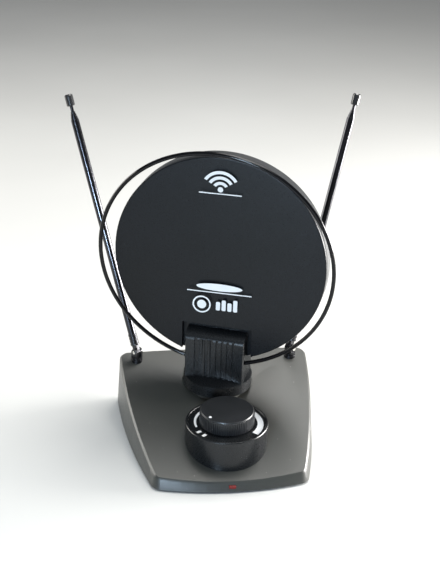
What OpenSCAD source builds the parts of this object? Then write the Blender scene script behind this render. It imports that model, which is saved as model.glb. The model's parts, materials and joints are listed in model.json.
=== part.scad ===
// Amplified indoor television antenna: a wedge base with two telescopic rods,
// and a turning drum-shaped disc with a loop round it.
// Millimetres, +Z up, front towards -Y. The origin is the middle of the footprint, on the table.

/* [Base] */
// Width of the top face at its rear edge
base_rear_w = 171; // [165:1:178]
// Width of the top face at its front edge
base_front_w = 125; // [120:1:132]
// Depth of the top face
base_depth = 150; // [146:1:156]
// Height of the top face at its front edge
base_front_h = 11; // [10:0.5:13]
// Height of the top face at its rear edge
base_rear_h = 48; // [46:0.5:50]
// Outward bow of each side edge
side_bow = 5; // [3:0.5:7]
// Outward bow of the front edge
front_bow = 8.3; // [6:0.1:10]
// Outward bow of the rear edge
rear_bow = 2.5; // [1:0.5:4]
// Radius of the four corners in plan
corner_r = 8; // [5:1:10]
// How far the walls spread outward at the bottom
draft = 2.3; // [1.5:0.1:3]
// Wall thickness of the base mouldings
wall = 2.4; // [2:0.1:2.8]
// Height of the rubber feet below the base
foot_h = 1.6; // [1:0.1:2.5]

/* [Control pod] */
// Distance of the knob's axis in front of the middle
knob_y = 37; // [34:1:40]
// Outer radius of the pod at its rim
pod_r = 35; // [33:0.1:36]
// Height of the pod's rim above the table
pod_rim_z = 39.5; // [38:0.5:41]
// Radius of the gain knob
knob_r = 23.2; // [21:0.1:24]
// Height of the knob's grip
knob_h = 12; // [10:0.5:14]
// Ribs around the knob
knob_ribs = 80; // [40:2:90]

/* [Turntable] */
// Distance of the turntable's axis behind the middle
pivot_y = 33; // [31:1:35]
// Radius of the round pedestal
pedestal_r = 30.3; // [28:0.1:31]
// Height of the pedestal's side
pedestal_h = 9.8; // [8:0.1:11]
// Radius of the pedestal's domed top
dome_r = 140; // [100:5:200]
// Angle of the turntable from straight ahead, as stored
turn_rest = -20.7; // [-25:0.1:0]
// Half width of the ribbed bracket
bracket_hw = 26.3; // [24:0.1:27]
// Half depth of the ribbed bracket
bracket_hd = 16.5; // [15:0.1:17]
// Height of the bracket's top edge above the table
bracket_top = 93; // [91:0.5:96]
// Height where the bracket's front starts to curve back
bracket_shoulder = 84.5; // [82:0.5:87]
// Upright grooves in the bracket's front
groove_count = 8; // [4:1:9]

/* [Disc and loop] */
// Radius of the disc
disc_r = 92; // [88:0.5:93]
// Thickness of the disc
disc_t = 19.5; // [17:0.5:21]
// Distance of the disc's face in front of the turning axis
disc_face = 8.5; // [8:0.5:10]
// Height of the disc's centre
disc_z = 158.2; // [157:0.1:164]
// Radius of the loop at the middle of its tube
loop_r = 100; // [99:0.5:102]
// Diameter of the loop's tube
loop_d = 3.5; // [3:0.1:4]
// Distance of the loop's centre in front of the disc's face
loop_ahead = 13.6; // [12:0.1:15]
// Height of the loop's centre above the disc's centre
loop_up = 4; // [2:0.1:5]
// Forward lean of the loop
loop_lean = 6.8; // [5:0.1:8]

/* [Rods] */
// Distance of each rod's swivel from the middle
rod_x = 70; // [68:0.5:72]
// Distance of each rod's swivel behind the middle
rod_y = 64; // [62:0.5:65]
// Height of each rod's hinge pin above the table
hinge_z = 53.8; // [53:0.1:56]
// Direction of the left rod's lean, from sideways towards the rear
left_lean_turn = 46.8; // [42:0.1:52]
// Lean of the left rod from upright, as stored
left_lean = 20.2; // [20:0.1:25]
// Direction of the right rod's lean, from sideways towards the rear
right_lean_turn = 45.1; // [42:0.1:52]
// Lean of the right rod from upright, as stored
right_lean = 20.7; // [20:0.1:25]
// Length of a closed rod from its hinge pin to its tip
rod_len = 236; // [234:0.5:260]
// Outer radius of the outer tube
tube_r = 3.5; // [3.4:0.1:3.6]

/* [Hidden] */
$fn = 96;
eps = 0.01;
far = 400;

// Top face of the base: a plane that rises to the rear
mid_h = (base_front_h + base_rear_h) / 2;
slope = (base_rear_h - base_front_h) / base_depth;
slope_a = atan(slope);
edge_r = 1.6;
outline_steps = 12;
front_y = -base_depth / 2 - front_bow;
rear_y = base_depth / 2 + rear_bow;
floor_top = foot_h + 2.2;

// Turntable levels
seat_z = mid_h + slope * pivot_y + 0.4;
seat_r = 25;
pocket_gap = 1;
seat_floor = 2.4;
hub_r = 12;
hub_bottom = seat_z - 7.6;
spigot_r = 9;
spigot_bore = 6;
run_gap = 0.05;
pedestal_z = seat_z + 0.3;
pedestal_rim = pedestal_z + pedestal_h;
dome_centre = pedestal_rim - sqrt(dome_r * dome_r - pedestal_r * pedestal_r);
deck_z = pedestal_rim - 2.5;

// Bracket and disc, seen from the turning axis with the disc facing -Y
disc_back = disc_t - disc_face;
shell_t = 2.2;
seam_back = 2;
groove_pitch = 4.8;
groove_w = 2;
groove_d = 1.2;
bracket_wall = 2.3;
boss_x = 15;
boss_z = 80;
boss_r = 3.2;
stem_screw_x = 12;
stem_screw_y = 7.5;
disc_screw_r = 60;
groove_top = bracket_shoulder + 2.5;
well_gap = 4.6;
well_floor = 1.6;
well_d = disc_face - seam_back - well_floor;
hollow_top = disc_z - disc_r - 2.2;
terminal = [6, 5.6, 5.6];
terminal_at = [19, -12.2, 60];
loop_y = -disc_face - loop_ahead;
loop_z = disc_z + loop_up;
loop_gap_a = asin(18 / loop_r);

// Control pod levels
dial_z = pod_rim_z - 1.5;
dial_t = 1.4;
deck_t = 2.2;
pod_wall = 2.4;
dial_r = pod_r - 2.1;
knob_z = dial_z + 0.8;
shaft_r = 3;
bush_r = 3.6;
pot_w = 16;
pot_h = 8;
pot_nut_h = 1.8;
pointer_turn = -144;
pod_screw_r = 26;
pod_post_r = 3;
pod_deck_z = dial_z - dial_t - deck_t;

// Where a pod screw's head meets the underside of the sloping top
function pod_screw_at(a) = let(y = pod_screw_r * sin(a) - knob_y)
    [pod_screw_r * cos(a), y, mid_h + slope * y - wall - slope * head_r];

// Connectors in the rear wall
panel_y = 76.8;
panel_z = 18;
panel_w = 90;
panel_h = 22;
panel_t = 3.2;
coax_x = 28;
coax_r = 4.76;
coax_shank_r = 4.46;
coax_nut_t = 2.4;
coax_len = 10;
jack_x = -28;
jack_bore_r = 1.8;
jack_r = 4;
jack_depth = 14;
window_w = 5.8;
window_h = 2.5;
window_z = 4.05;

// Screws
screw_r = 1.3;
clear_r = 1.7;
head_r = 2.8;
head_h = 1.8;
case_screw_at = [[-46, -56], [46, -56], [-73, 36], [73, 36], [0, 70]];
case_screw_len = 7;
case_boss_r = 3.4;
pod_screw_len = 8;
pod_screw_a = [90, 210, 330];
foot_at = [[-38, -68, 7], [38, -68, 7], [-70, 58, 7], [70, 58, 7], [0, 0, 12]];
board = [84, 44, 1.6];
board_y = 44;
board_z = 8;
board_post = [36, 17];
ballast = [96, 52, 5];
ballast_y = -17;
ballast_hole = [42, 20];

// Rod joint and tubes
collar_top = hinge_z - 6.8;
collar_flange = 3.8;
collar_r = 5.2;
collar_neck_r = 4.2;
collar_bottom = collar_top - 8.6;
post_r = 3;
ear_in = 1.7;
ear_t = 2;
eye_r = 3.5;
pin_r = 1.5;
ferrule_r = 3.95;
ferrule_z = [6.5, 17];
spigot_top = 22;
tube_wall = 0.4;
tube_step = 0.5;
tube_ends = [[17, 214], [24, 216.5], [26, 218.7], [28, 220.8]];
tip_r = 1.4;
tip_foot = 30;
cap_r = 3.6;
cap_len = 10.2;
left = -1;
right = 1;

// ---- Shapes used by several parts ----

// Corner-to-corner outline of the top face, before its corners are rounded
function along(i) = 2 * i / outline_steps - 1;
function bow(i, depth) = depth * (1 - along(i) * along(i));
function half_w(i) = (base_rear_w + (base_front_w - base_rear_w) * i / outline_steps) / 2;
function edge_y(i) = base_depth / 2 - base_depth * i / outline_steps;
outline = concat(
    [for (i = [0:outline_steps - 1]) [along(i) * base_rear_w / 2, base_depth / 2 + bow(i, rear_bow)]],
    [for (i = [0:outline_steps - 1]) [half_w(i) + bow(i, side_bow), edge_y(i)]],
    [for (i = [0:outline_steps - 1]) [-along(i) * base_front_w / 2, -base_depth / 2 - bow(i, front_bow)]],
    [for (i = [outline_steps:-1:1]) [-half_w(i) - bow(i, side_bow), edge_y(i)]]
);

module plan(inset) {
    offset(delta = -inset, $fn = 32)
        offset(r = corner_r, $fn = 32)
            offset(delta = -corner_r) polygon(outline);
}

// A thin sheet of the plan lying along the sloping top, dropped below it
module sloping_sheet(inset, drop) {
    multmatrix([[1, 0, 0, 0], [0, 1, 0, 0], [0, slope, 1, mid_h - drop - eps]])
        linear_extrude(eps) plan(inset);
}

module level_sheet(inset, z) {
    translate([0, 0, z]) linear_extrude(eps) plan(inset);
}

// Everything under the sloping top face
module under_top(drop = 0) {
    translate([0, 0, mid_h - drop]) rotate([slope_a, 0, 0])
        translate([-far / 2, -far / 2, -far]) cube([far, far, far]);
}

module tube(outer_r, inner_r, h) {
    difference() {
        cylinder(r = outer_r, h = h);
        translate([0, 0, -1]) cylinder(r = inner_r, h = h + 2);
    }
}

// A pan-head screw pointing up, its head's underside at the origin
module screw(len) {
    translate([0, 0, -head_h]) cylinder(r = head_r, h = head_h);
    translate([0, 0, -eps]) cylinder(r = screw_r, h = len);
}

module hex(across_flats, h) {
    cylinder(d = across_flats / cos(30), h = h, $fn = 6);
}

module at_pivot() {
    translate([0, pivot_y, 0]) rotate([0, 0, turn_rest]) children();
}

// ---- Base ----

module seat() {
    intersection() {
        translate([0, pivot_y, seat_z - seat_floor]) cylinder(r = pedestal_r + 2.8, h = 30);
        under_top();
    }
    translate([0, pivot_y, hub_bottom]) cylinder(r = seat_r, h = seat_z - hub_bottom);
}

module top_cover() color([0.30, 0.31, 0.30]) {
    difference() {
        union() {
            difference() {
                hull() {
                    level_sheet(-draft, foot_h);
                    sloping_sheet(0, edge_r);
                    sloping_sheet(edge_r, 0);
                }
                hull() {
                    level_sheet(wall - draft, foot_h - 1);
                    sloping_sheet(wall, wall);
                }
            }
            seat();
            for (p = case_screw_at) intersection() {
                translate([p[0], p[1], floor_top]) cylinder(r = case_boss_r, h = 60);
                under_top(1);
            }
            for (s = [left, right]) intersection() {
                translate([s * rod_x, rod_y, collar_bottom + 2.4]) cylinder(r = 8, h = 20);
                under_top(0);
            }
            translate([-panel_w / 2, panel_y - panel_t, panel_z - panel_h / 2])
                cube([panel_w, panel_t, panel_h]);
        }
        // Level pocket that the pedestal turns in, and the hollow under its seat
        translate([0, pivot_y, seat_z]) cylinder(r = pedestal_r + pocket_gap, h = 30);
        translate([0, pivot_y, hub_bottom - 1])
            tube(seat_r - wall, hub_r, seat_z - seat_floor - hub_bottom + 1);
        translate([0, pivot_y, 0]) cylinder(r = spigot_r + run_gap, h = 60);
        for (p = case_screw_at)
            translate([p[0], p[1], 0]) cylinder(r = screw_r, h = foot_h + case_screw_len + 1.2);
        for (s = [left, right]) translate([s * rod_x, rod_y, 0]) {
            cylinder(r = collar_neck_r, h = 80);
            translate([0, 0, collar_top - collar_flange]) cylinder(r = collar_r, h = 20);
        }
        translate([0, -knob_y, 10]) cylinder(r = 13, h = 30);
        for (a = pod_screw_a)
            translate(pod_screw_at(a)) translate([0, 0, -5]) cylinder(r = clear_r, h = 20);
        // Rear panel recess and its two holes
        translate([-panel_w / 2 + 2, panel_y, panel_z - panel_h / 2 + 2])
            cube([panel_w - 4, 10, panel_h - 4]);
        translate([coax_x, panel_y + 1, panel_z]) rotate([90, 0, 0]) cylinder(r = coax_shank_r, h = 10);
        translate([jack_x, panel_y + 1, panel_z]) rotate([90, 0, 0]) cylinder(r = jack_r, h = 10);
        translate([-window_w / 2 - 0.1, front_y - draft - 1, window_z - 0.1])
            cube([window_w + 0.2, 8, window_h + 0.2]);
    }
}

module bottom_plate() color([0.12, 0.12, 0.13]) {
    difference() {
        union() {
            translate([0, 0, foot_h]) linear_extrude(floor_top - foot_h) plan(wall - draft + 0.8);
            for (x = [-1, 1], y = [-1, 1])
                translate([x * board_post[0], board_y + y * board_post[1], foot_h])
                    cylinder(r = 3, h = board_z - foot_h);
        }
        for (p = case_screw_at) translate([p[0], p[1], foot_h - 1]) {
            cylinder(r = clear_r, h = 10);
            cylinder(r = head_r + 0.3, h = 2);
        }
        for (x = [-1, 1], y = [-1, 1]) {
            translate([x * board_post[0], board_y + y * board_post[1], floor_top - 1])
                cylinder(r = screw_r, h = 10);
            translate([x * ballast_hole[0], ballast_y + y * ballast_hole[1], foot_h - 1])
                cylinder(r = screw_r, h = 10);
        }
        for (f = foot_at) translate([f[0], f[1], foot_h - 1]) cylinder(r = f[2], h = 1.6);
    }
}

module rubber_feet() color([0.08, 0.08, 0.08]) {
    for (f = foot_at) translate([f[0], f[1], 0]) {
        cylinder(r1 = f[2] - 0.6, r2 = f[2] - 0.1, h = foot_h);
        translate([0, 0, foot_h - eps]) cylinder(r = f[2] - 0.1, h = 0.6);
    }
}

module case_screws() color("silver") {
    for (p = case_screw_at) translate([p[0], p[1], foot_h + 1]) {
        translate([0, 0, -0.8]) cylinder(r = head_r, h = 0.8);
        translate([0, 0, -eps]) cylinder(r = screw_r, h = case_screw_len);
    }
}

module ballast_plate() color([0.55, 0.56, 0.58]) {
    translate([0, ballast_y, floor_top]) difference() {
        translate([-ballast[0] / 2, -ballast[1] / 2, 0]) cube(ballast);
        for (x = [-1, 1], y = [-1, 1]) translate([x * ballast_hole[0], y * ballast_hole[1], -1])
            cylinder(r = clear_r, h = ballast[2] + 2);
    }
}

module ballast_screws() color("silver") {
    for (x = [-1, 1], y = [-1, 1])
        translate([x * ballast_hole[0], ballast_y + y * ballast_hole[1], floor_top + ballast[2]])
            rotate([180, 0, 0]) screw(ballast[2] + 1.8);
}

module amplifier_board() color([0.10, 0.35, 0.18]) {
    translate([0, board_y, board_z]) difference() {
        translate([-board[0] / 2, -board[1] / 2, 0]) cube(board);
        for (x = [-1, 1], y = [-1, 1]) translate([x * board_post[0], y * board_post[1], -1])
            cylinder(r = clear_r, h = 4);
    }
}

module board_screws() color("silver") {
    for (x = [-1, 1], y = [-1, 1])
        translate([x * board_post[0], board_y + y * board_post[1], board_z + board[2]])
            rotate([180, 0, 0]) screw(5);
}

module shield_can() color([0.75, 0.76, 0.78]) {
    translate([-20, board_y - 16, board_z + board[2]]) difference() {
        cube([34, 26, 7]);
        translate([0.5, 0.5, -1]) cube([33, 25, 7.5]);
    }
}

module coax_socket() color([0.80, 0.78, 0.70]) {
    translate([coax_x, 0, panel_z]) difference() {
        union() {
            translate([0, panel_y + coax_len, 0]) rotate([90, 0, 0]) {
                cylinder(r = coax_r, h = coax_len - coax_nut_t);
                cylinder(r = coax_shank_r, h = coax_len + panel_t);
            }
            translate([-6, panel_y - panel_t - 10, board_z + board[2] - panel_z]) cube([12, 10, 14]);
        }
        translate([0, panel_y + coax_len + 1, 0]) rotate([90, 0, 0]) cylinder(r = 3.4, h = 11);
    }
}

module coax_insulator() color([0.93, 0.92, 0.88]) {
    translate([coax_x, panel_y + coax_len - 1, panel_z]) rotate([90, 0, 0]) tube(3.4, 0.6, 9);
}

module coax_nut() color([0.80, 0.78, 0.70]) {
    translate([coax_x, panel_y + coax_nut_t, panel_z]) rotate([90, 0, 0]) difference() {
        hex(12, coax_nut_t);
        translate([0, 0, -1]) cylinder(r = coax_shank_r, h = 5);
    }
}

module power_jack() color([0.07, 0.07, 0.08]) {
    translate([jack_x, 0, panel_z]) difference() {
        union() {
            translate([0, panel_y + 1, 0]) rotate([90, 0, 0]) cylinder(r = jack_r, h = 4.2);
            translate([-5, panel_y - panel_t - 14, board_z + board[2] - panel_z]) cube([10, 14, 14]);
        }
        translate([0, panel_y + 2, 0]) rotate([90, 0, 0]) cylinder(r = jack_bore_r, h = jack_depth + 1);
    }
}

module indicator_led() color([0.85, 0.05, 0.05]) {
    translate([0, front_y + 6.5, window_z + window_h / 2]) rotate([90, 0, 0]) {
        cylinder(r = 1.2, h = 4);
        cylinder(r = 1.4, h = 1);
    }
}

module led_window() color([0.75, 0.03, 0.03]) {
    translate([-window_w / 2, front_y - 1.6, window_z]) cube([window_w, 3.8, window_h]);
}

module pivot_washer() color([0.85, 0.84, 0.78]) {
    translate([0, pivot_y, hub_bottom - 0.5]) tube(hub_r + 0.5, spigot_r + 0.3, 0.5);
}

module rod_collars() color([0.10, 0.10, 0.11]) {
    for (s = [left, right]) translate([s * rod_x, rod_y, 0]) difference() {
        union() {
            translate([0, 0, collar_top - collar_flange]) cylinder(r = collar_r, h = collar_flange);
            translate([0, 0, collar_bottom]) cylinder(r = collar_neck_r, h = collar_top - collar_bottom - 1);
        }
        cylinder(r = post_r + run_gap, h = 80);
    }
}

module collar_nuts() color("silver") {
    for (s = [left, right]) translate([s * rod_x, rod_y, collar_bottom + 0.4]) difference() {
        hex(13, 2);
        translate([0, 0, -1]) cylinder(r = collar_neck_r, h = 4);
    }
}

// ---- Control pod and knob ----

module control_pod() color([0.13, 0.13, 0.14]) {
    translate([0, -knob_y, 0]) difference() {
        rotate_extrude() polygon([
            [bush_r, pod_deck_z], [pod_r - pod_wall, pod_deck_z],
            [pod_r - pod_wall - 0.6, 4], [pod_r - 0.7, 4], [pod_r - 0.1, pod_rim_z - 8],
            [pod_r, pod_rim_z - 0.8], [pod_r - 0.5, pod_rim_z], [dial_r + 0.6, pod_rim_z],
            [dial_r, pod_rim_z - 0.6], [dial_r, dial_z - dial_t], [bush_r, dial_z - dial_t]
        ]);
        translate([0, knob_y, 0]) under_top();
    }
    for (a = pod_screw_a) difference() {
        translate(pod_screw_at(a)) cylinder(r = pod_post_r, h = pod_deck_z - pod_screw_at(a)[2] + eps);
        under_top();
        translate(pod_screw_at(a)) cylinder(r = screw_r, h = pod_screw_len + 0.3);
    }
}

module pod_screws() color("silver") {
    for (a = pod_screw_a) translate(pod_screw_at(a)) screw(pod_screw_len);
}

module dial_plate() color([0.10, 0.10, 0.11]) {
    translate([0, -knob_y, dial_z - dial_t]) tube(dial_r - 0.05, bush_r, dial_t);
}

// Printed gain scale: a band that widens clockwise, and two short marks at the off end
module dial_scale() color("white") {
    steps = 24;
    inner = 25.3;
    first = 192;
    last = -42;
    translate([0, -knob_y, dial_z]) linear_extrude(0.15) {
        polygon(concat(
            [for (i = [0:steps]) let(a = first + (last - first) * i / steps, t = i / steps)
                [(inner + 2.2 + 4 * t) * cos(a), (inner + 2.2 + 4 * t) * sin(a)]],
            [for (i = [steps:-1:0]) let(a = first + (last - first) * i / steps)
                [(inner + 0.6) * cos(a), (inner + 0.6) * sin(a)]]
        ));
        for (a = [208, 222]) rotate([0, 0, a]) translate([inner + 0.8, -1.4]) square([4.2, 2.8]);
    }
}

module gain_pot() color([0.45, 0.46, 0.48]) {
    translate([0, -knob_y, pod_deck_z - pot_h]) difference() {
        union() {
            translate([-pot_w / 2, -pot_w / 2, 0]) cube([pot_w, pot_w, pot_h]);
            cylinder(r = bush_r, h = pot_h + deck_t + dial_t + pot_nut_h + 0.2);
        }
        translate([0, 0, 2]) cylinder(r = shaft_r + run_gap, h = 30);
    }
}

module pot_nut() color("silver") {
    translate([0, -knob_y, dial_z]) difference() {
        hex(10, pot_nut_h);
        translate([0, 0, -1]) cylinder(r = bush_r, h = 4);
    }
}

module gain_knob() color([0.09, 0.09, 0.10]) {
    pitch = 360 / knob_ribs;
    root_r = knob_r - 0.5;
    translate([0, -knob_y, knob_z]) difference() {
        union() {
            linear_extrude(knob_h - 1.2) polygon([
                for (i = [0:knob_ribs - 1])
                    let(a = i * pitch, b = a + 0.45 * pitch, c = a + 0.78 * pitch) each [
                    [root_r * cos(a), root_r * sin(a)],
                    [knob_r * cos(b), knob_r * sin(b)],
                    [knob_r * cos(c), knob_r * sin(c)]
                ]
            ]);
            translate([0, 0, knob_h - 1.2 - eps])
                cylinder(r1 = knob_r - 0.3, r2 = knob_r - 0.9, h = 1.2 + eps);
        }
        translate([0, 0, -1]) tube(knob_r - 2.6, 6, knob_h - 1.4);
        translate([0, 0, -1]) cylinder(r = 6.5, h = 2.6);
        translate([0, 0, -1]) cylinder(r = shaft_r, h = knob_h - 2);
        rotate([0, 0, pointer_turn]) translate([knob_r - 4, 0, knob_h - 0.6]) cylinder(r = 1.2, h = 1);
    }
}

module pot_shaft() color("silver") {
    translate([0, -knob_y, pod_deck_z - 5]) cylinder(r = shaft_r, h = knob_z + knob_h - pod_deck_z);
}

module knob_pointer() color("white") {
    translate([0, -knob_y, knob_z + knob_h - 0.6]) rotate([0, 0, pointer_turn])
        translate([knob_r - 4, 0, 0]) cylinder(r = 1.2, h = 0.6);
}

// ---- Turntable, in its own frame: axis on Z, disc facing -Y ----

module stem_screws_at() {
    for (x = [-1, 1], y = [-1, 1]) translate([x * stem_screw_x, y * stem_screw_y, 0]) children();
}

module dome(grow = 0) {
    translate([0, 0, dome_centre]) sphere(r = dome_r + grow, $fn = 160);
}

module pedestal() color([0.12, 0.12, 0.13]) at_pivot() difference() {
    union() {
        intersection() {
            translate([0, 0, pedestal_z]) cylinder(r = pedestal_r, h = pedestal_h + 8);
            dome();
        }
        translate([0, 0, hub_bottom - 3]) cylinder(r = spigot_r, h = pedestal_z - hub_bottom + 4);
    }
    translate([0, 0, pedestal_z - 1]) tube(pedestal_r - 2.3, spigot_r, deck_z - pedestal_z + 1);
    translate([0, 0, hub_bottom - 4]) cylinder(r = spigot_bore, h = 50);
    stem_screws_at() cylinder(r = clear_r, h = 80);
}

module pivot_retainer() color([0.80, 0.78, 0.72]) at_pivot()
    translate([0, 0, hub_bottom - 2.8]) tube(hub_r + 1, spigot_r, 2.2);

module pedestal_screws() color("silver") at_pivot()
    stem_screws_at() translate([0, 0, deck_z]) screw(16);

// The drum that the bracket clasps, from its rear face forward
module drum(depth) {
    translate([0, disc_back, disc_z]) rotate([90, 0, 0]) cylinder(r = disc_r, h = depth, $fn = 180);
}

// The two blocks that hold the loop's ends
module terminals(gap) {
    for (s = [left, right])
        translate([s * terminal_at[0] - terminal[0] / 2 - gap, terminal_at[1] - gap, terminal_at[2] - gap])
            cube([terminal[0] + 2 * gap, terminal[1] + 2 * gap, terminal[2] + 2 * gap]);
}

module loop_torus(r, start, sweep) {
    translate([0, loop_y, loop_z]) rotate([loop_lean, 0, 0]) rotate([90, 0, 0]) rotate([0, 0, start])
        rotate_extrude(angle = sweep, $fn = 180) translate([loop_r, 0]) circle(r = r, $fn = 32);
}

// Side view of one bracket half, from the split at y = 0 outward, rounded over at the top
module bracket_side(top) {
    steps = 14;
    thick = bracket_hd - disc_face + well_d;
    polygon(concat(
        [[0, pedestal_rim - 4], [bracket_hd, pedestal_rim - 4]],
        [for (i = [0:steps]) [
            bracket_hd - thick * (1 - cos(90 * i / steps)),
            bracket_shoulder + (top - bracket_shoulder) * sin(90 * i / steps)]],
        [[0, top]]
    ));
}

module bracket_half(depth_sign, top) {
    difference() {
        intersection() {
            rotate([90, 0, depth_sign > 0 ? 90 : -90]) translate([0, 0, -bracket_hw])
                linear_extrude(2 * bracket_hw) bracket_side(top);
            cylinder(r = pedestal_r, h = far);
        }
        dome();
        // Hollow below the drum, with the screw posts and two terminal pockets
        difference() {
            translate([-bracket_hw + bracket_wall, -bracket_hd + bracket_wall, pedestal_rim - 5])
                cube([
                    2 * (bracket_hw - bracket_wall), 2 * (bracket_hd - bracket_wall),
                    hollow_top - pedestal_rim + 5
                ]);
            stem_screws_at() cylinder(r = 3.6, h = 200);
        }
        terminals(0.2);
        stem_screws_at() cylinder(r = screw_r, h = 63);
        loop_torus(loop_d / 2 + 0.1, -110, 40);
    }
}

module bracket_front() color([0.11, 0.11, 0.12]) at_pivot() difference() {
    union() {
        difference() {
            bracket_half(-1, bracket_top);
            drum(disc_t - well_d);
        }
        for (s = [left, right]) translate([s * boss_x, disc_back + 1, boss_z]) rotate([90, 0, 0])
            cylinder(r = boss_r, h = disc_back + 1 + disc_face + 0.2);
    }
    for (s = [left, right]) translate([s * boss_x, disc_back + 2, boss_z]) rotate([90, 0, 0])
        cylinder(r = screw_r, h = 18);
    for (i = [0:groove_count - 1])
        translate([(i - (groove_count - 1) / 2) * groove_pitch - groove_w / 2, -bracket_hd - 1, 0])
            cube([groove_w, groove_d + 1, groove_top]);
}

module bracket_rear() color([0.11, 0.11, 0.12]) at_pivot() difference() {
    bracket_half(1, bracket_top);
    drum(disc_t);
    for (s = [left, right]) translate([s * boss_x, bracket_hd + 1, boss_z]) rotate([90, 0, 0]) {
        cylinder(r = clear_r, h = 20);
        cylinder(r = head_r + 0.2, h = 1 + head_h + 0.4);
        translate([0, 0, bracket_hd - disc_back]) cylinder(r = boss_r + 0.1, h = 20);
    }
}

module bracket_screws() color("silver") at_pivot()
    for (s = [left, right]) translate([s * boss_x, bracket_hd - head_h - 0.4, boss_z])
        rotate([90, 0, 0]) screw(16);

// Bosses of the bracket pass through the disc here
module boss_holes(r) {
    for (s = [left, right]) translate([s * boss_x, 60, boss_z]) rotate([90, 0, 0]) cylinder(r = r, h = 120);
}

// The recess in the disc's face that the bracket stands in, open at the rim
module well(grow) {
    w = bracket_hw + well_gap + grow;
    translate([-w, -disc_face - 1, 0]) cube([2 * w, well_d + 1 + grow, bracket_top + well_gap + grow]);
}

// Turned profile of a shell: distance from the axis against distance along it
module disc_shell(depth, edge) {
    rotate_extrude($fn = 180) polygon([
        [0, 0], [disc_r - edge, 0], [disc_r - 0.3 * edge, 0.3 * edge], [disc_r, edge], [disc_r, depth],
        [disc_r - shell_t, depth], [disc_r - shell_t, shell_t], [0, shell_t]
    ]);
}

module disc_front() color([0.10, 0.11, 0.13]) at_pivot() difference() {
    union() {
        translate([0, -disc_face, disc_z]) rotate([-90, 0, 0]) disc_shell(disc_face - seam_back, 1.2);
        intersection() {
            translate([0, -disc_face + 0.5, disc_z]) rotate([-90, 0, 0])
                cylinder(r = disc_r, h = well_d + well_floor - 0.5, $fn = 180);
            well(well_floor);
        }
        for (a = [45:90:315]) translate([0, -disc_face + 1, disc_z]) rotate([-90, 0, 0]) rotate([0, 0, a])
            translate([disc_screw_r, 0, 0]) cylinder(r = 3.2, h = disc_face + 1);
    }
    for (a = [45:90:315]) translate([0, -disc_face + shell_t, disc_z]) rotate([-90, 0, 0]) rotate([0, 0, a])
        translate([disc_screw_r, 0, 0]) cylinder(r = screw_r, h = 30);
    boss_holes(boss_r + 0.1);
    well(0);
}

module disc_rear() color([0.13, 0.14, 0.16]) at_pivot() difference() {
    union() {
        translate([0, disc_back, disc_z]) rotate([90, 0, 0]) disc_shell(disc_back + seam_back, 1.8);
        for (a = [45:90:315]) translate([0, disc_back - 1, disc_z]) rotate([90, 0, 0]) rotate([0, 0, -a])
            translate([disc_screw_r, 0, 0]) cylinder(r = 3.2, h = disc_back - 1 - 2.8);
    }
    for (a = [45:90:315]) translate([0, disc_back + 1, disc_z]) rotate([90, 0, 0]) rotate([0, 0, -a])
        translate([disc_screw_r, 0, 0]) {
            cylinder(r = clear_r, h = 20);
            cylinder(r = head_r + 0.2, h = 1 + head_h);
        }
    boss_holes(boss_r + 0.1);
}

module disc_screws() color("silver") at_pivot()
    for (a = [45:90:315]) translate([0, disc_back - head_h, disc_z]) rotate([90, 0, 0]) rotate([0, 0, -a])
        translate([disc_screw_r, 0, 0]) screw(12);

module element_plate() color([0.75, 0.76, 0.78]) at_pivot() difference() {
    translate([0, 2.8, disc_z]) rotate([90, 0, 0]) cylinder(r = disc_r - 8, h = 0.8, $fn = 180);
    for (a = [45:90:315]) translate([0, 10, disc_z]) rotate([90, 0, 0]) rotate([0, 0, -a])
        translate([disc_screw_r, 0, 0]) cylinder(r = clear_r, h = 20);
    boss_holes(4);
    // Feed slot
    translate([-4, -5, disc_z - 70]) cube([8, 20, 50]);
}

module uhf_loop() color([0.05, 0.05, 0.06]) at_pivot()
    loop_torus(loop_d / 2, -90 + loop_gap_a, 360 - 2 * loop_gap_a);

module loop_terminals() color([0.80, 0.65, 0.30]) at_pivot() difference() {
    terminals(0);
    loop_torus(loop_d / 2, -110, 40);
}

// ---- Rods ----

module at_hinge(side) {
    turn = side == left ? left_lean_turn : right_lean_turn;
    mirror([side == left ? 1 : 0, 0, 0]) translate([rod_x, rod_y, hinge_z]) rotate([0, 0, turn]) children();
}

module along_rod(side) {
    at_hinge(side) rotate([0, side == left ? left_lean : right_lean, 0]) children();
}

module fork(side) color([0.10, 0.10, 0.11]) at_hinge(side) difference() {
    union() {
        translate([0, 0, collar_top + 0.1 - hinge_z]) cylinder(r = collar_r - 0.4, h = 1.8);
        translate([0, 0, collar_bottom - 2 - hinge_z])
            cylinder(r = post_r, h = collar_top - collar_bottom + 3);
        for (y = [-1, 1]) translate([0, y * (ear_in + ear_t / 2), 0]) rotate([90, 0, 0]) {
            cylinder(r = eye_r, h = ear_t, center = true);
            translate([-eye_r, collar_top + 1 - hinge_z, -ear_t / 2])
                cube([2 * eye_r, hinge_z - collar_top - 1, ear_t]);
        }
    }
    translate([0, 20, 0]) rotate([90, 0, 0]) cylinder(r = pin_r, h = 40);
}

// The pin's head is on the side that faces right on both rods
module hinge_pin(side) color("silver") at_hinge(side) {
    len = 2 * (ear_in + ear_t) + 1;
    rotate([side == left ? -90 : 90, 0, 0]) {
        translate([0, 0, -len / 2]) cylinder(r = pin_r, h = len);
        translate([0, 0, ear_in + ear_t]) cylinder(r = pin_r + 0.9, h = 1.3);
    }
}

module clip(side) color("silver") at_hinge(side)
    translate([0, 0, collar_bottom - 1 - hinge_z]) tube(post_r + 2, post_r, 0.8);

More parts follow.
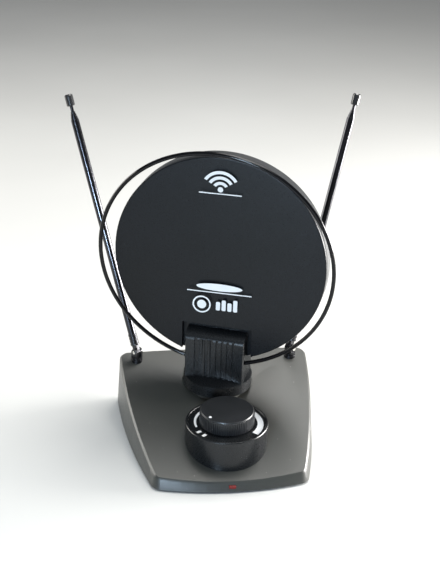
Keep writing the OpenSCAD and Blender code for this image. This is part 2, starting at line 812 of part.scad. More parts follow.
module rod_foot(side) color([0.10, 0.10, 0.11]) along_rod(side) difference() {
    union() {
        rotate([90, 0, 0]) cylinder(r = eye_r - 0.2, h = 2 * (ear_in - 0.1), center = true);
        translate([-eye_r + 0.6, -ear_in + 0.1, 0])
            cube([2 * eye_r - 1.2, 2 * ear_in - 0.2, ferrule_z[0] + 1]);
        translate([0, 0, ferrule_z[0]]) cylinder(r = ferrule_r, h = ferrule_z[1] - ferrule_z[0]);
        translate([0, 0, ferrule_z[1] - 1])
            cylinder(r = tube_r - tube_wall, h = spigot_top - ferrule_z[1] + 1);
    }
    rotate([90, 0, 0]) cylinder(r = pin_r + run_gap, h = 20, center = true);
    for (z = [8.6, 11.4, 14.2]) translate([0, 0, z]) tube(ferrule_r + 1, ferrule_r - 0.5, 0.9);
}

module rod_tube(side, n) color([0.11, 0.11, 0.12]) along_rod(side) {
    r = tube_r - tube_step * n;
    translate([0, 0, tube_ends[n][0]]) tube(r, r - tube_wall, tube_ends[n][1] - tube_ends[n][0]);
}

module tip_rod(side) color([0.11, 0.11, 0.12]) along_rod(side)
    translate([0, 0, tip_foot]) cylinder(r = tip_r, h = rod_len - cap_len + 2 - tip_foot);

module tip_cap(side) color([0.06, 0.06, 0.07]) along_rod(side) difference() {
    translate([0, 0, rod_len - cap_len]) union() {
        cylinder(r1 = cap_r - 0.6, r2 = cap_r, h = 0.8);
        translate([0, 0, 0.8 - eps]) cylinder(r = cap_r, h = cap_len - 1.8);
        translate([0, 0, cap_len - 1 - eps]) cylinder(r1 = cap_r, r2 = cap_r - 1, h = 1 + eps);
    }
    translate([0, 0, rod_len - cap_len - 1]) cylinder(r = tip_r, h = 3);
}

top_cover();
bottom_plate();
rubber_feet();
case_screws();
ballast_plate();
ballast_screws();
amplifier_board();
board_screws();
shield_can();
coax_socket();
coax_insulator();
coax_nut();
power_jack();
indicator_led();
led_window();
control_pod();
dial_plate();
dial_scale();
gain_pot();
pot_nut();
pod_screws();
pivot_washer();
rod_collars();
collar_nuts();
gain_knob();
pot_shaft();
knob_pointer();
pedestal();
pivot_retainer();
bracket_front();
bracket_rear();
bracket_screws();
pedestal_screws();
disc_front();
disc_rear();
disc_screws();
element_plate();
uhf_loop();
loop_terminals();
fork(left);  // left_fork
hinge_pin(left);  // left_hinge_pin
clip(left);  // left_clip
rod_foot(left);  // left_rod_foot
rod_tube(left, 0);  // left_tube_1
rod_tube(left, 1);  // left_tube_2
rod_tube(left, 2);  // left_tube_3
rod_tube(left, 3);  // left_tube_4
tip_rod(left);  // left_tip_rod
tip_cap(left);  // left_tip_cap
fork(right);  // right_fork
hinge_pin(right);  // right_hinge_pin
clip(right);  // right_clip
rod_foot(right);  // right_rod_foot
rod_tube(right, 0);  // right_tube_1
rod_tube(right, 1);  // right_tube_2
rod_tube(right, 2);  // right_tube_3
rod_tube(right, 3);  // right_tube_4
tip_rod(right);  // right_tip_rod
tip_cap(right);  // right_tip_cap
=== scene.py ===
import json
import math
import bpy
import bmesh
from mathutils import Matrix, Vector


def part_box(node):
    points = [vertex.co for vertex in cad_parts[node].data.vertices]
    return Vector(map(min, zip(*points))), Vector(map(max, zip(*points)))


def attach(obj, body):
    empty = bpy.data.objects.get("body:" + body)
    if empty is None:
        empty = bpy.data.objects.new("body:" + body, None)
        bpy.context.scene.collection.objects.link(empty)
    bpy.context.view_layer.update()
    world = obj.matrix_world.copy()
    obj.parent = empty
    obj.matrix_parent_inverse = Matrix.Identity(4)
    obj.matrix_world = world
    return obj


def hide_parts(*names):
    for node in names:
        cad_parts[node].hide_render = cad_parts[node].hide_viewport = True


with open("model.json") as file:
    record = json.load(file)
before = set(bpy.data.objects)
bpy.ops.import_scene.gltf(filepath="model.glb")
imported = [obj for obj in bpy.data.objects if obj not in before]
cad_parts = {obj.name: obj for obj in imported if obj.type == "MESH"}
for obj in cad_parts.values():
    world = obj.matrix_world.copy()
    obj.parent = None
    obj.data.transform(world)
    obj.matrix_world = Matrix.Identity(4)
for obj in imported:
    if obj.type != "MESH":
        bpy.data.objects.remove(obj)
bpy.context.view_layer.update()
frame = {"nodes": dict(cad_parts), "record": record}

record = frame["record"]
bodyOf = {node: body for body, names in record["behaviour"]["bodies"].items() for node in names}
slotOf = {part["node"]: part["material_slot"] for part in record["subparts"]}

pointGap = 1e-6    # points of a finished piece that lie closer than this are one point
cadGap = 2e-6      # the same for a CAD mesh
flatWithin = 0.6   # degrees: neighbouring CAD faces that are flatter than this are one face


def selectOnly(thing):
    if bpy.context.mode != "OBJECT":
        bpy.ops.object.mode_set(mode="OBJECT")
    bpy.ops.object.select_all(action="DESELECT")
    thing.select_set(True)
    bpy.context.view_layer.objects.active = thing


def editAll(thing):
    selectOnly(thing)
    bpy.ops.object.mode_set(mode="EDIT")
    bpy.ops.mesh.select_mode(type="FACE")
    bpy.ops.mesh.select_all(action="SELECT")


def pickFaces(thing, test):
    # Selects the faces that the test accepts, in edit mode
    mesh = bmesh.from_edit_mesh(thing.data)
    for face in mesh.faces:
        face.select_set(False)
    for face in mesh.faces:
        if test(face):
            face.select_set(True)
    bmesh.update_edit_mesh(thing.data)


def pickEdges(thing, test):
    # The same for edges
    bpy.ops.mesh.select_mode(type="EDGE")
    mesh = bmesh.from_edit_mesh(thing.data)
    for edge in mesh.edges:
        edge.select_set(False)
    for edge in mesh.edges:
        if test(edge):
            edge.select_set(True)
    bmesh.update_edit_mesh(thing.data)


def closeUp(thing):
    # Merges doubled points and turns every face outward
    editAll(thing)
    bpy.ops.mesh.remove_doubles(threshold=pointGap)
    bpy.ops.mesh.normals_make_consistent(inside=False)
    bpy.ops.object.mode_set(mode="OBJECT")


def settle(thing, turn=None):
    # Puts the object's place into its mesh
    if turn is not None:
        thing.matrix_world = turn @ thing.matrix_world
    selectOnly(thing)
    bpy.ops.object.transform_apply(location=True, rotation=True, scale=True)


def roundEdges(thing, width, segments=3, angle=30):
    selectOnly(thing)
    mod = thing.modifiers.new("edges", "BEVEL")
    mod.width = width
    mod.segments = segments
    mod.limit_method = "ANGLE"
    mod.angle_limit = math.radians(angle)
    bpy.ops.object.modifier_apply(modifier=mod.name)


def smooth(thing, angle=38):
    selectOnly(thing)
    bpy.ops.object.shade_smooth_by_angle(angle=math.radians(angle))
    mod = thing.modifiers.new("flat faces", "WEIGHTED_NORMAL")
    mod.keep_sharp = True
    bpy.ops.object.modifier_apply(modifier=mod.name)


def cut(thing, tool):
    # Takes one closed shape out of another
    selectOnly(thing)
    mod = thing.modifiers.new("cut", "BOOLEAN")
    mod.operation = "DIFFERENCE"
    mod.solver = "EXACT"
    mod.object = tool
    bpy.ops.object.modifier_apply(modifier=mod.name)
    bpy.data.objects.remove(tool)


def joined(things, name):
    selectOnly(things[0])
    for other in things[1:]:
        other.select_set(True)
    bpy.ops.object.join()
    things[0].name = name
    return things[0]


def stands(piece, node, material):
    # The piece stands for a CAD node: the same body and the same slot
    piece.data.materials.clear()
    piece.data.materials.append(material)
    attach(piece, bodyOf[node])
    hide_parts(node)
    return piece


def middle(node):
    low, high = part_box(node)
    return (low + high) / 2


def newMaterial(name):
    mat = bpy.data.materials.new(name)
    mat.use_nodes = True
    tree = mat.node_tree
    return mat, tree, tree.nodes["Principled BSDF"]


def noiseNode(tree, scale, detail=2, rough=0.5, stretch=(1, 1, 1)):
    where = tree.nodes.new("ShaderNodeTexCoord")
    mapping = tree.nodes.new("ShaderNodeMapping")
    mapping.inputs["Scale"].default_value = stretch
    tree.links.new(where.outputs["Object"], mapping.inputs["Vector"])
    noise = tree.nodes.new("ShaderNodeTexNoise")
    noise.inputs["Scale"].default_value = scale
    noise.inputs["Detail"].default_value = detail
    noise.inputs["Roughness"].default_value = rough
    tree.links.new(mapping.outputs["Vector"], noise.inputs["Vector"])
    return noise.outputs["Fac"]


def spread(tree, source, low, high, fromLow=0.3, fromHigh=0.7):
    ranger = tree.nodes.new("ShaderNodeMapRange")
    ranger.inputs["From Min"].default_value = fromLow
    ranger.inputs["From Max"].default_value = fromHigh
    ranger.inputs["To Min"].default_value = low
    ranger.inputs["To Max"].default_value = high
    tree.links.new(source, ranger.inputs["Value"])
    return ranger.outputs["Result"]


def twoTone(tree, source, dark, light, start=0.35, end=0.65):
    ramp = tree.nodes.new("ShaderNodeValToRGB")
    ramp.color_ramp.elements[0].position = start
    ramp.color_ramp.elements[0].color = (*dark, 1)
    ramp.color_ramp.elements[1].position = end
    ramp.color_ramp.elements[1].color = (*light, 1)
    tree.links.new(source, ramp.inputs["Fac"])
    return ramp.outputs["Color"]


def bumpFrom(tree, source, height):
    bump = tree.nodes.new("ShaderNodeBump")
    bump.inputs["Strength"].default_value = 1
    bump.inputs["Distance"].default_value = height
    tree.links.new(source, bump.inputs["Height"])
    return bump.outputs["Normal"]


usualPlastic = dict(drift=22, ior=1.5, dust=0, coat=0)
dust = dict(
    speckEdge=(0.02, 0.09),    # where a speck fades out, from its middle
    patchScale=130,            # the specks lie in patches
    patchEdge=(0.50, 0.58),
)


def dusty(tree, colour, look):
    # Lays sparse specks of dust over a colour
    cells = tree.nodes.new("ShaderNodeTexVoronoi")
    where = tree.nodes.new("ShaderNodeTexCoord")
    tree.links.new(where.outputs["Object"], cells.inputs["Vector"])
    cells.inputs["Scale"].default_value = look["dust"]
    speck = spread(tree, cells.outputs["Distance"], look["dustiness"], 0, *dust["speckEdge"])
    patches = spread(tree, noiseNode(tree, dust["patchScale"]), 0, 1, *dust["patchEdge"])
    sparse = tree.nodes.new("ShaderNodeMath")
    sparse.operation = "MULTIPLY"
    tree.links.new(speck, sparse.inputs[0])
    tree.links.new(patches, sparse.inputs[1])
    mix = tree.nodes.new("ShaderNodeMix")
    mix.data_type = "RGBA"
    mix.inputs["B"].default_value = (*look["dustColour"], 1)
    tree.links.new(sparse.outputs[0], mix.inputs["Factor"])
    tree.links.new(colour, mix.inputs["A"])
    return mix.outputs["Result"]


def plastic(name, look):
    # Moulded plastic: a fine grain and a slow drift in colour, with dust or a gloss coat where asked
    look = {**usualPlastic, **look}
    mat, tree, shader = newMaterial(name)
    drift = noiseNode(tree, look["drift"], 3)
    grain = noiseNode(tree, look["grain"], 2, 0.6)
    colour = twoTone(tree, drift, look["dark"], look["light"])
    if look["dust"]:
        colour = dusty(tree, colour, look)
    tree.links.new(colour, shader.inputs["Base Color"])
    tree.links.new(spread(tree, grain, *look["rough"]), shader.inputs["Roughness"])
    tree.links.new(bumpFrom(tree, grain, look["depth"]), shader.inputs["Normal"])
    shader.inputs["IOR"].default_value = look["ior"]
    if look["coat"]:
        shader.inputs["Coat Weight"].default_value = look["coat"]
        shader.inputs["Coat Roughness"].default_value = look["coatRough"]
    return mat


usualMetal = dict(streaks=900, stretch=(1, 1, 1), drift=40, depth=0.00001, metallic=1)


def metal(name, look):
    # Drawn, plated or ground metal: fine scratches, and a slow drift in colour
    look = {**usualMetal, **look}
    mat, tree, shader = newMaterial(name)
    streaks = noiseNode(tree, look["streaks"], 2, 0.6, look["stretch"])
    drift = noiseNode(tree, look["drift"])
    tree.links.new(twoTone(tree, drift, look["dark"], look["light"]), shader.inputs["Base Color"])
    tree.links.new(spread(tree, streaks, *look["rough"]), shader.inputs["Roughness"])
    tree.links.new(bumpFrom(tree, streaks, look["depth"]), shader.inputs["Normal"])
    shader.inputs["Metallic"].default_value = look["metallic"]
    return mat


def lensMaterial(name, look):
    # Clear coloured plastic, unlit but for a faint glow of its own
    mat, tree, shader = newMaterial(name)
    cloud = noiseNode(tree, look["cloud"])
    tree.links.new(twoTone(tree, cloud, look["dark"], look["light"]), shader.inputs["Base Color"])
    tree.links.new(spread(tree, cloud, *look["rough"]), shader.inputs["Roughness"])
    shader.inputs["Emission Color"].default_value = (*look["glow"], 1)
    shader.inputs["Emission Strength"].default_value = look["glowStrength"]
    return mat


finishes = dict(
    base_shell=plastic("satinCover", dict(
        dark=(0.036, 0.037, 0.033), light=(0.046, 0.047, 0.042), grain=1500, depth=0.00006,
        rough=(0.30, 0.44), dust=150, dustColour=(0.30, 0.30, 0.27), dustiness=0.6, drift=14)),
    black_case=plastic("satinCase", dict(
        dark=(0.005, 0.006, 0.007), light=(0.008, 0.009, 0.010), grain=1300, depth=0.00001,
        rough=(0.24, 0.33), ior=1.46)),
    black_rubber=plastic("softRubber", dict(
        dark=(0.018, 0.018, 0.018), light=(0.028, 0.028, 0.027), grain=900, depth=0.00005,
        rough=(0.75, 0.92))),
    jack_plastic=plastic("jackPlastic", dict(
        dark=(0.012, 0.012, 0.012), light=(0.020, 0.020, 0.020), grain=1400, depth=0.00003,
        rough=(0.35, 0.5))),
    white_insulator=plastic("whiteInsulator", dict(
        dark=(0.70, 0.69, 0.65), light=(0.80, 0.79, 0.75), grain=900, depth=0.00002, rough=(0.35, 0.5))),
    pale_nylon=plastic("paleNylon", dict(
        dark=(0.62, 0.61, 0.55), light=(0.72, 0.71, 0.66), grain=900, depth=0.00003, rough=(0.4, 0.55))),
    circuit_board=plastic("solderResist", dict(
        dark=(0.02, 0.11, 0.05), light=(0.03, 0.16, 0.07), grain=500, depth=0.00003, rough=(0.25, 0.4))),
    knob_plastic=plastic("knobPlastic", dict(
        dark=(0.012, 0.013, 0.014), light=(0.018, 0.019, 0.021), grain=1600, depth=0.00002,
        rough=(0.28, 0.38), dust=190, dustColour=(0.25, 0.25, 0.26), dustiness=0.5)),
    white_print=plastic("whiteInk", dict(
        dark=(0.78, 0.79, 0.79), light=(0.88, 0.88, 0.88), grain=1800, depth=0.00001, rough=(0.45, 0.6))),
    disc_face=plastic("grainedDisc", dict(
        dark=(0.002, 0.003, 0.004), light=(0.004, 0.005, 0.007), grain=1050, depth=0.00007,
        rough=(0.25, 0.36), drift=9, ior=1.35)),
    disc_shell=plastic("discDrum", dict(
        dark=(0.026, 0.028, 0.030), light=(0.034, 0.036, 0.038), grain=1300, depth=0.00006,
        rough=(0.36, 0.5))),
    loop_gloss=plastic("glossLacquer", dict(
        dark=(0.002, 0.002, 0.003), light=(0.004, 0.004, 0.005), grain=700, depth=0.000003,
        rough=(0.08, 0.14), ior=1.36)),
    cap_plastic=plastic("capPlastic", dict(
        dark=(0.010, 0.010, 0.011), light=(0.018, 0.018, 0.019), grain=1500, depth=0.00002,
        rough=(0.2, 0.32), coat=0.3, coatRough=0.12)),
    joint_black=metal("blackPlatedJoint", dict(
        dark=(0.035, 0.035, 0.038), light=(0.060, 0.060, 0.064), rough=(0.20, 0.32), streaks=1200,
        metallic=0.9)),
    rod_black_chrome=metal("blackChrome", dict(
        dark=(0.050, 0.050, 0.056), light=(0.070, 0.070, 0.077), rough=(0.12, 0.22), streaks=700,
        stretch=(3, 3, 0.15))),
    zinc_screw=metal("zincPlate", dict(
        dark=(0.48, 0.49, 0.51), light=(0.62, 0.62, 0.62), rough=(0.25, 0.4))),
    ballast_steel=metal("millSteel", dict(
        dark=(0.28, 0.28, 0.29), light=(0.38, 0.38, 0.38), rough=(0.35, 0.6), stretch=(0.1, 1, 1))),
    tinned_steel=metal("tinPlate", dict(
        dark=(0.55, 0.56, 0.58), light=(0.68, 0.68, 0.69), rough=(0.22, 0.38))),
    nickel_plate=metal("nickelPlate", dict(
        dark=(0.60, 0.59, 0.55), light=(0.72, 0.71, 0.67), rough=(0.14, 0.26))),
    element_metal=metal("sheetAluminium", dict(
        dark=(0.60, 0.61, 0.63), light=(0.75, 0.75, 0.76), rough=(0.3, 0.45), stretch=(1, 1, 0.1))),
    terminal_brass=metal("brassTerminal", dict(
        dark=(0.55, 0.40, 0.16), light=(0.70, 0.54, 0.26), rough=(0.2, 0.35))),
    red_lens=lensMaterial("redLens", dict(
        dark=(0.09, 0.002, 0.002), light=(0.15, 0.004, 0.004), cloud=500, rough=(0.08, 0.2),
        glow=(0.6, 0.01, 0.01), glowStrength=0.08)),
)
print("materials ready:", len(finishes))


# Edge radius of each piece that is made from its CAD shape, in metres
edges = dict(
    top_cover=0.0006, bottom_plate=0.0003, rubber_feet=0.0004, control_pod=0.00045, dial_plate=0.0002,
    pedestal=0.0007, bracket_front=0.0002, bracket_rear=0.0006, disc_front=0.0005, disc_rear=0.0006,
    rod_collars=0.0004, power_jack=0.0003, led_window=0.0004, coax_nut=0.0003, pot_shaft=0.0003,
    left_fork=0.0004, right_fork=0.0004, left_hinge_pin=0.0003, right_hinge_pin=0.0003,
    left_rod_foot=0.0002, right_rod_foot=0.0002, left_tip_cap=0.0004, right_tip_cap=0.0004,
    ballast_plate=0.0005, shield_can=0.0003, amplifier_board=0.0001, gain_pot=0.0002, pot_nut=0.0002,
    collar_nuts=0.0002, pivot_washer=0.0001, pivot_retainer=0.0003, element_plate=0.0001,
    loop_terminals=0.0003, indicator_led=0.0002, coax_insulator=0.0001, left_clip=0.0001, right_clip=0.0001,
    left_tube_1=0.00012, left_tube_2=0.00012, left_tube_3=0.00012, left_tube_4=0.00012, left_tip_rod=0.0002,
    right_tube_1=0.00012, right_tube_2=0.00012, right_tube_3=0.00012, right_tube_4=0.00012,
    right_tip_rod=0.0002,
)


def workingCopy(node):
    # A free copy of a CAD node's mesh, with its flat faces whole again
    source = frame["nodes"][node]
    piece = source.copy()
    piece.data = source.data.copy()
    piece.parent = None
    piece.name = node + "_rounded"
    for key in list(piece.keys()):
        del piece[key]
    bpy.context.scene.collection.objects.link(piece)
    editAll(piece)
    bpy.ops.mesh.remove_doubles(threshold=cadGap)
    bpy.ops.mesh.dissolve_limited(angle_limit=math.radians(flatWithin))
    bpy.ops.object.mode_set(mode="OBJECT")
    return piece


facing = middle("disc_front") - middle("disc_rear")
facing.z = 0
facing.normalize()
pivot = Vector((0, middle("pedestal").y, 0))
turnMatrix = (Matrix.Translation(pivot) @ Matrix.Rotation(math.atan2(facing.x, -facing.y), 4, "Z")
              @ Matrix.Translation(-pivot))
grooves = dict(
    depth=0.0012,      # in the CAD bracket
    deeper=0.0012,     # pushed in by this much more
    narrower=0.35,     # width of the floor, as a share of the CAD groove's
    slack=0.0002,      # when a face is told by its depth
    near=0.0001,       # when a face is told by its middle
)


def deepen(piece):
    # Turns the bracket straight ahead, makes its grooves deeper and V-shaped, and turns it back
    settle(piece, turnMatrix.inverted())
    front = min(vert.co.y for vert in piece.data.vertices)
    floors = [face.center.copy() for face in piece.data.polygons
              if face.normal.y < -0.99
              and abs(face.center.y - front - grooves["depth"]) < grooves["slack"]]
    for centre in floors:
        editAll(piece)
        pickFaces(piece, lambda face: (face.calc_center_median() - centre).length < grooves["near"])
        bpy.ops.transform.translate(value=(0, grooves["deeper"], 0))
        bpy.ops.transform.resize(value=(grooves["narrower"], 1, 1), center_override=centre)
    bpy.ops.object.mode_set(mode="OBJECT")
    settle(piece, turnMatrix)
    print("grooves:", len(floors))


for node, width in edges.items():
    piece = workingCopy(node)
    if node == "bracket_front":
        deepen(piece)
    roundEdges(piece, width)
    smooth(piece)
    stands(piece, node, finishes[slotOf[node]])
print("rounded pieces ready:", len(edges))


# Gain knob
knob = dict(
    ribs=80,
    ribDepth=0.0007,
    ribShare=0.97,     # the ribs stand out by this share of their depth
    inside=0.00002,    # kept inside the CAD knob
    crownHeight=0.0012,
    crownTaper=0.975,
    lipWidth=0.0009,
    dishSlope=0.0004,
    dish=0.00018,
    skirt=0.0026,      # wall of the grip
    hub=0.0060,
    shaft=0.0030,
    topThickness=0.0024,
    shaftDeeper=0.0004,
    dotRadius=0.0012,
    dotDepth=0.0006,
    edge=0.00009,
)


def buildKnob():
    low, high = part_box("gain_knob")
    at = (low + high) / 2
    height = high.z - low.z
    rootRadius = (high.x - low.x) / 2 - knob["ribDepth"] - knob["inside"]
    gripHeight = height - knob["crownHeight"]
    sides = 3 * knob["ribs"]
    nearAxis = 0.001
    grip = rootRadius - knob["skirt"] + knob["ribDepth"]   # inner radius of the grip's wall
    bpy.ops.object.select_all(action="DESELECT")
    bpy.ops.mesh.primitive_cylinder_add(
        vertices=sides, radius=rootRadius, depth=gripHeight, location=(at.x, at.y, low.z + gripHeight / 2))
    piece = bpy.context.object
    piece.name = "knurled_knob"
    settle(piece)
    editAll(piece)

    def out(face):  # distance of a face from the knob's axis
        centre = face.calc_center_median()
        return math.hypot(centre.x - at.x, centre.y - at.y)

    def isRib(face):  # two sides out of every three stand out
        centre = face.calc_center_median()
        turn = math.atan2(centre.y - at.y, centre.x - at.x) % (2 * math.pi)
        return abs(face.normal.z) < 0.1 and int(turn * sides / (2 * math.pi)) % 3 != 0

    pickFaces(piece, isRib)
    bpy.ops.mesh.extrude_region_shrink_fatten(
        TRANSFORM_OT_shrink_fatten={"value": knob["ribDepth"] * knob["ribShare"]})
    # crown above the ribs
    pickFaces(piece, lambda face: face.normal.z > 0.9 and out(face) < nearAxis)
    bpy.ops.mesh.extrude_region_move(TRANSFORM_OT_translate={"value": (0, 0, knob["crownHeight"])})
    bpy.ops.transform.resize(
        value=(knob["crownTaper"], knob["crownTaper"], 1), center_override=(at.x, at.y, high.z))
    # a shallow dish inside a narrow lip
    bpy.ops.mesh.inset(thickness=knob["lipWidth"])
    bpy.ops.mesh.inset(thickness=knob["dishSlope"])
    bpy.ops.transform.translate(value=(0, 0, -knob["dish"]))
    # hollow underside round the hub, and the hole for the shaft
    pickFaces(piece, lambda face: face.normal.z < -0.9 and out(face) < nearAxis)
    bpy.ops.mesh.inset(thickness=knob["skirt"] - knob["ribDepth"])
    bpy.ops.mesh.inset(thickness=grip - knob["hub"])
    hollow = height - knob["topThickness"]
    pickFaces(piece, lambda face: face.normal.z < -0.9 and knob["hub"] < out(face) < grip - nearAxis)
    bpy.ops.mesh.extrude_region_move(TRANSFORM_OT_translate={"value": (0, 0, hollow)})
    pickFaces(piece, lambda face: face.normal.z < -0.9 and out(face) < nearAxis)
    bpy.ops.mesh.inset(thickness=knob["hub"] - knob["shaft"])
    bpy.ops.mesh.extrude_region_move(TRANSFORM_OT_translate={"value": (0, 0, hollow + knob["shaftDeeper"])})
    bpy.ops.object.mode_set(mode="OBJECT")
    # pocket of the white dot
    dot = middle("knob_pointer")
    bpy.ops.mesh.primitive_cylinder_add(
        vertices=32, radius=knob["dotRadius"], depth=2 * knob["dotDepth"],
        location=(dot.x, dot.y, high.z))
    cut(piece, bpy.context.object)
    roundEdges(piece, knob["edge"], 2, 32)
    closeUp(piece)
    smooth(piece, 35)
    return stands(piece, "gain_knob", finishes["knob_plastic"])


buildKnob()
print("knob ready")


# Screw heads and their cross recesses
recess = dict(arm=0.0034, width=0.0007, depth=0.0009, headEdge=0.00035, rimBand=0.00002)


def looseParts(node):
    # The points of each separate screw in a node, always in the same order
    mesh = frame["nodes"][node].data
    world = frame["nodes"][node].matrix_world
    copy = bmesh.new()
    copy.from_mesh(mesh)
    bmesh.ops.remove_doubles(copy, verts=copy.verts, dist=cadGap)
    seen, groups = set(), []
    for first in copy.verts:
        if first in seen:
            continue
        seen.add(first)
        pile, group = [first], []
        while pile:
            vert = pile.pop()
            group.append(world @ vert.co)
            for edge in vert.link_edges:
                other = edge.other_vert(vert)
                if other not in seen:
                    seen.add(other)
                    pile.append(other)
        groups.append(group)
    copy.free()
    return groups


def crossedScrews(node, outward):
    # Cuts a cross into the head of each screw, on the side that looks outward
    piece = workingCopy(node)
    roundEdges(piece, recess["headEdge"])
    outward = Vector(outward).normalized()
    for group in looseParts(node):
        face = max(point.dot(outward) for point in group)
        rim = [point for point in group if point.dot(outward) > face - recess["rimBand"]]
        centre = sum(rim, Vector()) / len(rim)
        for turn in (0, 90):
            bpy.ops.object.select_all(action="DESELECT")
            bpy.ops.mesh.primitive_cube_add(size=1)
            bar = bpy.context.object
            bar.scale = (recess["arm"], recess["width"], 2 * recess["depth"])
            settle(bar)
            aim = outward.to_track_quat("Z", "Y").to_matrix().to_4x4()
            arm = Matrix.Rotation(math.radians(turn), 4, "Z")
            settle(bar, Matrix.Translation(centre) @ aim @ arm)
            cut(piece, bar)
    closeUp(piece)
    smooth(piece)
    stands(piece, node, finishes[slotOf[node]])


for node, outward in dict(
    disc_screws=-facing, bracket_screws=-facing, case_screws=(0, 0, -1), ballast_screws=(0, 0, 1),
    board_screws=(0, 0, 1), pod_screws=(0, 0, -1), pedestal_screws=(0, 0, -1),
).items():
    crossedScrews(node, outward)
print("screws ready")


# Printed marks on the disc: places are across and up, on the disc's face
marks = dict(
    thickness=0.00012,
    sunk=0.00002,                 # into the face, so that no gap shows
    topCentre=(0.0, 0.2235),
    topDot=(0.0, 0.2237, 0.0046, 0.0046),             # across, up, width, height
    waves=(0.0058, 0.0104, 0.0150),
    waveWidth=0.0026,
    waveSweep=116,                # degrees
    topRule=(0.036, 0.0009, 0.2200),                  # width, height, up
    oval=(0.0015, 0.1355, 0.0400, 0.0066),            # across, up, width, height
    thinRule=(0.0015, 0.1305, 0.0560, 0.0009),        # the same
    ring=(-0.0135, 0.1183, 0.0080, 0.0013),           # across, up, radius, width of its line
    bars=(                        # across, width, height
        (0.0008, 0.0036, 0.0080), (0.0058, 0.0036, 0.0100),
        (0.0108, 0.0036, 0.0080), (0.0158, 0.0036, 0.0110)),
    barFoot=0.1140,
    cornerShare=0.3,              # corner radius of a bar, as a share of its shorter side
    borer=0.01,                   # length of the cylinder that opens a ring
)
discMesh = frame["nodes"]["disc_front"]
faceDepth = max((discMesh.matrix_world @ vert.co - pivot).dot(facing)
                for vert in discMesh.data.vertices)


def flatShape(kind, x, z, wide, high, inner=0, corners=48):
    # A thin flat shape standing on the disc's face, before the disc is turned
    bpy.ops.object.select_all(action="DESELECT")
    where = (x, pivot.y - faceDepth - marks["thickness"] / 2 + marks["sunk"], z)
    flat = (math.radians(90), 0, 0)
    if kind == "round":
        bpy.ops.mesh.primitive_cylinder_add(
            vertices=corners, radius=0.5, depth=1, location=where, rotation=flat)
        thing = bpy.context.object
        thing.scale = (wide, high, marks["thickness"])
    else:
        bpy.ops.mesh.primitive_cube_add(size=1, location=where)
        thing = bpy.context.object
        thing.scale = (wide, marks["thickness"], high)
    settle(thing)
    if kind == "bar":
        selectOnly(thing)
        bpy.ops.object.mode_set(mode="EDIT")
        pickEdges(thing, lambda edge: abs((edge.verts[0].co - edge.verts[1].co).y)
                  > marks["thickness"] / 2)
        bpy.ops.mesh.bevel(offset=min(wide, high) * marks["cornerShare"], segments=4)
        bpy.ops.object.mode_set(mode="OBJECT")
    if inner:
        bpy.ops.object.select_all(action="DESELECT")
        bpy.ops.mesh.primitive_cylinder_add(
            vertices=corners, radius=inner, depth=marks["borer"], location=where, rotation=flat)
        cut(thing, bpy.context.object)
    return thing


def waveArc(x, z, radius, width, sweep):
    # Part of a ring, cut by two planes through its centre
    arc = flatShape("round", x, z, 2 * radius + width, 2 * radius + width, radius - width / 2, 64)
    for side in (-1, 1):
        editAll(arc)
        lean = math.radians(90 - side * sweep / 2)
        bpy.ops.mesh.bisect(
            plane_co=(x, pivot.y, z), plane_no=(side * math.sin(lean), 0, -side * math.cos(lean)),
            use_fill=True, clear_outer=True)
        bpy.ops.object.mode_set(mode="OBJECT")
    return arc


def printMarks():
    x, z = marks["topCentre"]
    shapes = [flatShape("round", *marks["topDot"])]
    for radius in marks["waves"]:
        shapes.append(waveArc(x, z, radius, marks["waveWidth"], marks["waveSweep"]))
    wide, high, level = marks["topRule"]
    shapes.append(flatShape("bar", x, level, wide, high))
    shapes.append(flatShape("round", *marks["oval"]))
    shapes.append(flatShape("bar", *marks["thinRule"]))
    x, z, radius, width = marks["ring"]
    shapes.append(flatShape("round", x, z, 2 * radius, 2 * radius, radius - width))
    shapes.append(flatShape("round", x, z, radius, radius))
    for x, wide, high in marks["bars"]:
        shapes.append(flatShape("bar", x, marks["barFoot"] + high / 2, wide, high))
    piece = joined(shapes, "disc_print")
    settle(piece, turnMatrix)
    closeUp(piece)
    smooth(piece)
    piece.data.materials.clear()
    piece.data.materials.append(finishes["white_print"])
    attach(piece, "turntable")


printMarks()
print("disc print ready")


# Thread of the coaxial socket
thread = dict(
    pitch=0.00079,
    depth=0.0004,
    radius=0.00476,    # of the barrel
    inside=0.0008,     # the thread lies at least this far outside the insulator
    start=0.0004,      # behind the nut
    stop=0.0005,       # short of the barrel's end
    near=0.00001,      # when a point is told by its level
)


def buildCoax():
    piece = workingCopy("coax_socket")
    axis = middle("coax_insulator")
    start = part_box("coax_nut")[1].y + thread["start"]
    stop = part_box("coax_socket")[1].y - thread["stop"]
    radius = (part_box("coax_insulator")[1].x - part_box("coax_insulator")[0].x) / 2 + thread["inside"]
    turns = int((stop - start) / thread["pitch"])
    levels = [start + i * thread["pitch"] / 2 for i in range(2 * turns + 1)]
    for level in levels:
        editAll(piece)
        bpy.ops.mesh.bisect(plane_co=(0, level, 0), plane_no=(0, 1, 0))
    # every second ring of the barrel sinks in
    bpy.ops.mesh.select_mode(type="VERT")
    mesh = bmesh.from_edit_mesh(piece.data)
    for vert in mesh.verts:
        out = math.hypot(vert.co.x - axis.x, vert.co.z - axis.z)
        valley = any(abs(vert.co.y - level) < thread["near"] for level in levels[1::2])
        vert.select_set(valley and out > radius)
    bmesh.update_edit_mesh(piece.data)
    shrink = 1 - thread["depth"] / thread["radius"]
    bpy.ops.transform.resize(value=(shrink, 1, shrink), center_override=axis)
    bpy.ops.object.mode_set(mode="OBJECT")
    closeUp(piece)
    smooth(piece, 50)
    stands(piece, "coax_socket", finishes["nickel_plate"])


buildCoax()
print("coaxial socket ready")


# Everything else keeps its CAD shape and gets its finish
for node, thing in frame["nodes"].items():
    thing.data.materials.clear()
    thing.data.materials.append(finishes[slotOf[node]])


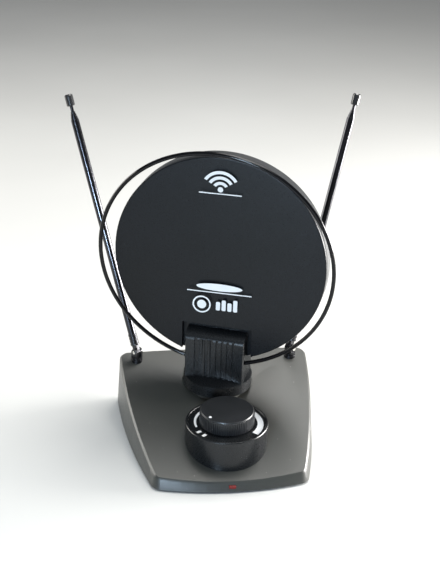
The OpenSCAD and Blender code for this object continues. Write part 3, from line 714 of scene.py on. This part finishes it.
# Floor, lights and camera
studio = dict(
    floorSize=14,
    floorColour=(0.60, 0.60, 0.585),
    floorDarker=0.96,     # the darker tone of the floor's slow drift
    floorDrift=3,
    floorRough=0.7,
    world=0.20,
    worldColour=(0.93, 0.96, 1),
    # each softbox: place, what it points at, width, height, watts, colour
    softboxes=dict(
        overhead=((0.34, 0.34, 1.42), (0.03, 0.0, 0.05), 0.85, 0.75, 25, (1, 0.99, 0.96)),
        rightSide=((0.95, 0.10, 0.16), (0.04, 0.0, 0.06), 0.6, 0.30, 32, (1, 0.98, 0.96)),
        leftSide=((-1.15, 0.55, 0.35), (0, 0, 0.05), 0.7, 0.6, 11, (1, 0.98, 0.92)),
        frontHigh=((-0.06, -0.62, 1.20), (0, 0.02, 0.06), 0.20, 0.20, 3.5, (0.80, 0.90, 1)),
        frontWindow=((-0.50, -1.16, 0.26), (0.04, -0.02, 0.19), 0.16, 0.20, 10, (0.62, 0.80, 1)),
    ),
)

bpy.ops.object.select_all(action="DESELECT")
bpy.ops.mesh.primitive_plane_add(size=studio["floorSize"], location=(0, 0, 0))
floor = bpy.context.object
floor.name = "floor"
floorLook, floorTree, floorShader = newMaterial("paleFloor")
pale = studio["floorColour"]
darker = tuple(studio["floorDarker"] * part for part in pale)
floorTone = twoTone(floorTree, noiseNode(floorTree, studio["floorDrift"], 3), darker, pale)
floorTree.links.new(floorTone, floorShader.inputs["Base Color"])
floorShader.inputs["Roughness"].default_value = studio["floorRough"]
floor.data.materials.append(floorLook)

world = bpy.data.worlds.new("studio")
bpy.context.scene.world = world
world.use_nodes = True
world.node_tree.nodes["Background"].inputs["Color"].default_value = (*studio["worldColour"], 1)
world.node_tree.nodes["Background"].inputs["Strength"].default_value = studio["world"]

for name, (place, target, width, height, watts, colour) in studio["softboxes"].items():
    bpy.ops.object.light_add(type="AREA", location=place)
    lamp = bpy.context.object
    lamp.name = name
    lamp.data.shape = "RECTANGLE"
    lamp.data.size = width
    lamp.data.size_y = height
    lamp.data.energy = watts
    lamp.data.color = colour
    lamp.rotation_euler = (Vector(target) - Vector(place)).to_track_quat("-Z", "Y").to_euler()

camera = dict(
    place=(-0.1196, -0.8929, 0.5671),
    aim=(0.1157, 0.8964, -0.4279),  # direction it looks in
    roll=1.75,                      # degrees
    lens=98.2,
    sensor=36,
)

bpy.ops.object.camera_add(location=camera["place"])
eye = bpy.context.object
eye.data.sensor_fit = "HORIZONTAL"
eye.data.sensor_width = camera["sensor"]
eye.data.lens = camera["lens"]
look = Vector(camera["aim"]).to_track_quat("-Z", "Y").to_matrix().to_4x4()
roll = Matrix.Rotation(math.radians(camera["roll"]), 4, "Z")
eye.matrix_world = Matrix.Translation(camera["place"]) @ look @ roll
bpy.context.scene.camera = eye
bpy.context.scene.view_settings.view_transform = "Standard"
print("room, lights and camera ready")
